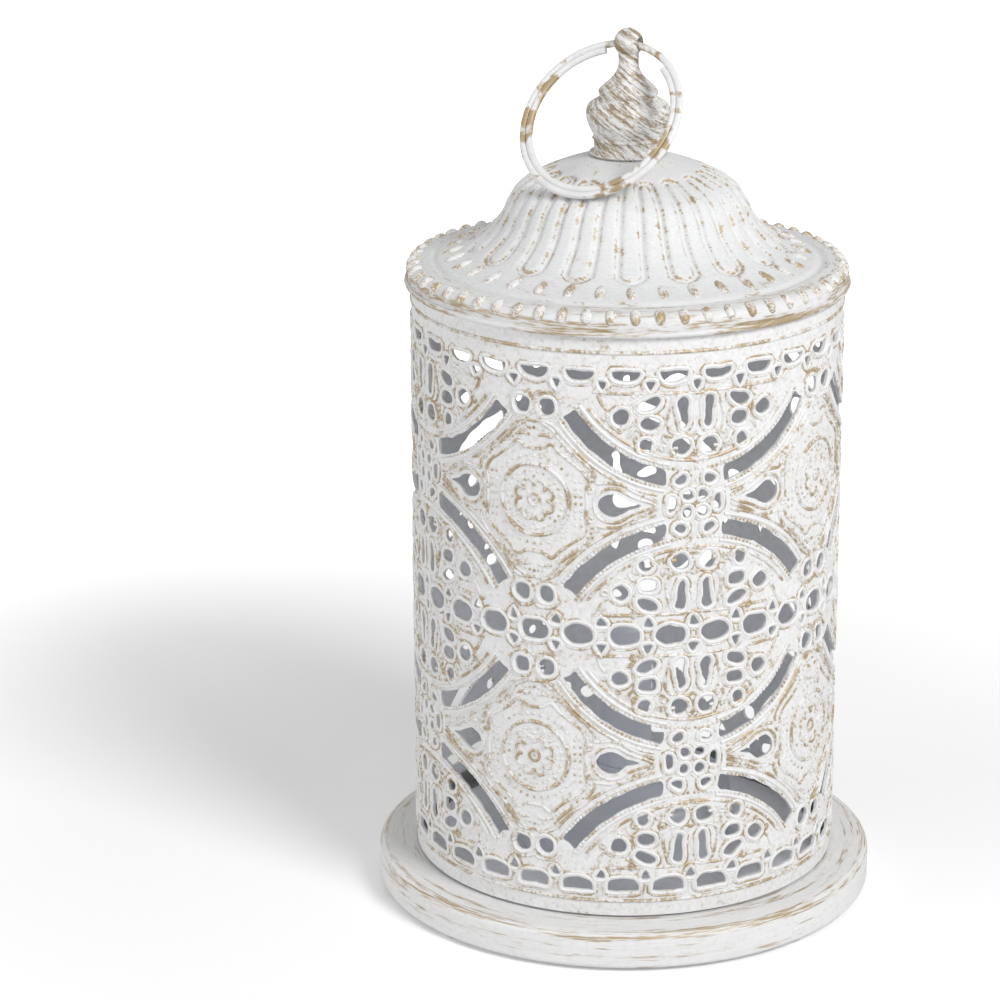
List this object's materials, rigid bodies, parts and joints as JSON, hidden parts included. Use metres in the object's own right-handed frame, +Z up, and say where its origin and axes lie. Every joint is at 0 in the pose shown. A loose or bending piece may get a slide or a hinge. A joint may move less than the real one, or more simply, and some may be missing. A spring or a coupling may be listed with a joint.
{
  "type": "lantern",
  "caption": "Table lantern: pierced tin drum with a fluted lid, turned finial and swinging ring, lifting off a round base that carries a loose battery light.",
  "frame": {"origin": "centre of the footprint, on the surface that the lantern stands on", "axes": "+Z up along the drum's axis; the ring leans to the front left, towards -Y and -X"},
  "size_m": [0.1538, 0.1538, 0.269],
  "materials": {
    "painted_tin": "chalky white brushed over gold, worn",
    "gilded_wire": "gold with worn white paint",
    "pad_rubber": "matte",
    "screw_steel": "plated",
    "grey_plastic": "matte",
    "frosted_plastic": "frosted",
    "dark_plastic": "matte",
    "cell_can": "satin wrap",
    "contact_steel": "plated",
    "board_green": "satin",
    "lamp_resin": "clear tinted"
  },
  "bodies": {
    "base": {"base_pan": "painted_tin", "base_collar": "painted_tin", "foot_pads": "pad_rubber"},
    "shade": {"pierced_drum": "painted_tin", "lid": "painted_tin", "finial": "painted_tin", "finial_screw": "screw_steel", "finial_washer": "screw_steel"},
    "ring": {"ring_outer_wire": "gilded_wire", "ring_inner_wire": "gilded_wire"},
    "light": {"light_housing": "grey_plastic", "light_floor": "grey_plastic", "battery_door": "grey_plastic", "door_screw": "screw_steel", "battery_cells": "cell_can", "contact_springs": "contact_steel", "contact_plates": "contact_steel", "circuit_board": "board_green", "switch_body": "dark_plastic", "tube_socket": "grey_plastic", "light_tube": "frosted_plastic", "lamp_board": "board_green", "lamp": "lamp_resin"},
    "switch": {"switch_knob": "dark_plastic"}
  },
  "joints": [
    {"name": "shade_lift", "type": "slide", "parent": "base", "child": "shade", "axis": [0, 0, 1], "range_m": [0, 0.12]},
    {"name": "ring_swing", "type": "hinge", "parent": "shade", "child": "ring", "pos_m": [0, 0, 0.26415], "axis": [-0.8572, 0.515, 0], "range_deg": [0, 281]},
    {"name": "light_lift", "type": "slide", "parent": "base", "child": "light", "axis": [0, 0, 1], "range_m": [0, 0.09]},
    {"name": "switch_slide", "type": "slide", "parent": "light", "child": "switch", "axis": [1, 0, 0], "range_m": [0, 0.003]}
  ]
}
